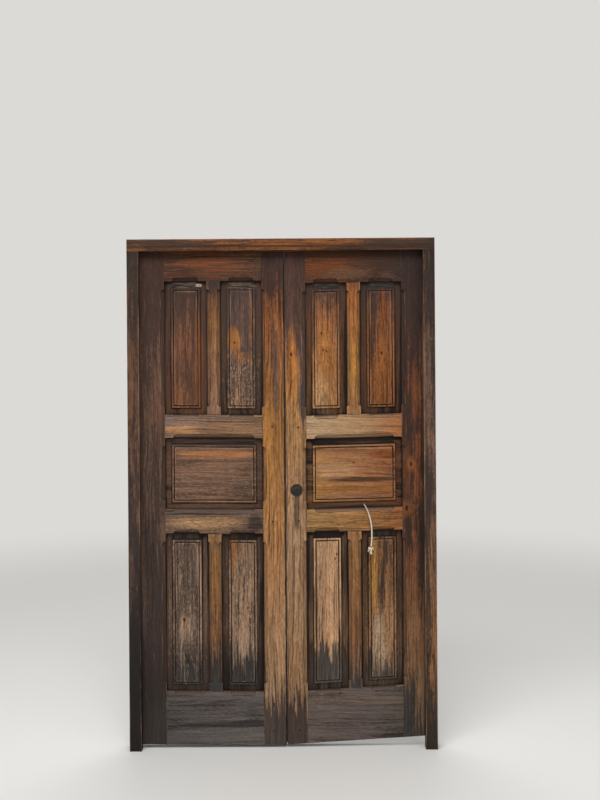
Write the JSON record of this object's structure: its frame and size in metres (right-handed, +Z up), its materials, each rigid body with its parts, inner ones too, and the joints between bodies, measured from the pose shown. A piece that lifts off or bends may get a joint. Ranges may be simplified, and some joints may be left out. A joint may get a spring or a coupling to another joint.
{
  "type": "double-leaf panelled wooden door",
  "caption": "Square-headed double door of weathered wood: framed leaves with raised panels, hung in a rebated frame, with rim lock, sliding bolts and a pull string.",
  "frame": {"origin": "middle of the feet of the frame, half way through the whole depth, at the bottom of the bounding box", "axes": "+X to the right as seen from the street, +Y into the house, +Z up"},
  "size_m": [1.3, 0.103, 2.16],
  "materials": {
    "frame_wood": "old dark stain, worn",
    "left_leaf_wood": "weathered pine, stain worn through",
    "right_leaf_wood": "weathered pine, stain worn through",
    "peg_wood": "dark end grain",
    "hinge_iron": "dark with rust",
    "black_iron": "black paint, worn",
    "rose_iron": "dull dark iron",
    "plug_brass": "tarnished",
    "bolt_steel": "worn bright",
    "cord_cotton": "limp twisted cotton, dirty"
  },
  "bodies": {
    "frame": {"left_jamb": "frame_wood", "right_jamb": "frame_wood", "head": "frame_wood", "frame_pegs": "peg_wood", "hinge_pins": "hinge_iron", "top_bolt_staple": "black_iron", "left_bottom_hinge_frame_flap": "hinge_iron", "left_middle_hinge_frame_flap": "hinge_iron", "left_top_hinge_frame_flap": "hinge_iron", "right_bottom_hinge_frame_flap": "hinge_iron", "right_middle_hinge_frame_flap": "hinge_iron", "right_top_hinge_frame_flap": "hinge_iron"},
    "left_leaf": {"left_hinge_stile": "left_leaf_wood", "left_meeting_stile": "left_leaf_wood", "left_top_rail": "left_leaf_wood", "left_upper_lock_rail": "left_leaf_wood", "left_lower_lock_rail": "left_leaf_wood", "left_bottom_rail": "left_leaf_wood", "left_upper_muntin": "left_leaf_wood", "left_lower_muntin": "left_leaf_wood", "left_panel_upper_outer": "left_leaf_wood", "left_panel_upper_inner": "left_leaf_wood", "left_panel_middle": "left_leaf_wood", "left_panel_lower_outer": "left_leaf_wood", "left_panel_lower_inner": "left_leaf_wood", "left_pegs": "peg_wood", "left_bottom_hinge_leaf_flap": "hinge_iron", "left_middle_hinge_leaf_flap": "hinge_iron", "left_top_hinge_leaf_flap": "hinge_iron", "lock_keeper": "black_iron", "left_bolt_guides": "black_iron"},
    "right_leaf": {"right_hinge_stile": "right_leaf_wood", "right_meeting_stile": "right_leaf_wood", "right_top_rail": "right_leaf_wood", "right_upper_lock_rail": "right_leaf_wood", "right_lower_lock_rail": "right_leaf_wood", "right_bottom_rail": "right_leaf_wood", "right_upper_muntin": "right_leaf_wood", "right_lower_muntin": "right_leaf_wood", "right_panel_upper_outer": "right_leaf_wood", "right_panel_upper_inner": "right_leaf_wood", "right_panel_middle": "right_leaf_wood", "right_panel_lower_outer": "right_leaf_wood", "right_panel_lower_inner": "right_leaf_wood", "right_pegs": "peg_wood", "right_bottom_hinge_leaf_flap": "hinge_iron", "right_middle_hinge_leaf_flap": "hinge_iron", "right_top_hinge_leaf_flap": "hinge_iron", "lock_case": "black_iron", "lock_cylinder": "rose_iron", "pull_cord": "cord_cotton", "pull_cord_knot": "cord_cotton", "pull_cord_stop_knot": "cord_cotton"},
    "lock_plug": {"lock_plug": "plug_brass"},
    "lock_bolt": {"lock_bolt": "bolt_steel"},
    "left_top_bolt": {"left_top_bolt": "black_iron"},
    "left_bottom_bolt": {"left_bottom_bolt": "black_iron"}
  },
  "joints": [
    {"name": "left_leaf_swing", "type": "hinge", "parent": "frame", "child": "left_leaf", "pos_m": [-0.6105, 0.0303, 1.08], "axis": [0, 0, 1], "range_deg": [0, 100]},
    {"name": "right_leaf_swing", "type": "hinge", "parent": "frame", "child": "right_leaf", "pos_m": [0.6105, 0.0303, 1.08], "axis": [0, 0, -1], "range_deg": [0, 100]},
    {"name": "lock_plug_turn", "type": "hinge", "parent": "right_leaf", "child": "lock_plug", "pos_m": [0.061, 0, 1.095], "axis": [0, 1, 0], "range_deg": [0, 360]},
    {"name": "lock_bolt_throw", "type": "slide", "parent": "right_leaf", "child": "lock_bolt", "axis": [-1, 0, 0], "range_m": [0, 0.018]},
    {"name": "left_top_bolt_slide", "type": "slide", "parent": "left_leaf", "child": "left_top_bolt", "axis": [0, 0, 1], "range_m": [0, 0.03]},
    {"name": "left_bottom_bolt_slide", "type": "slide", "parent": "left_leaf", "child": "left_bottom_bolt", "axis": [0, 0, -1], "range_m": [0, 0.025]}
  ],
  "couplings": [
    {"joint": "lock_plug_turn", "follows": "lock_bolt_throw", "rad_per_m": 349.07}
  ]
}
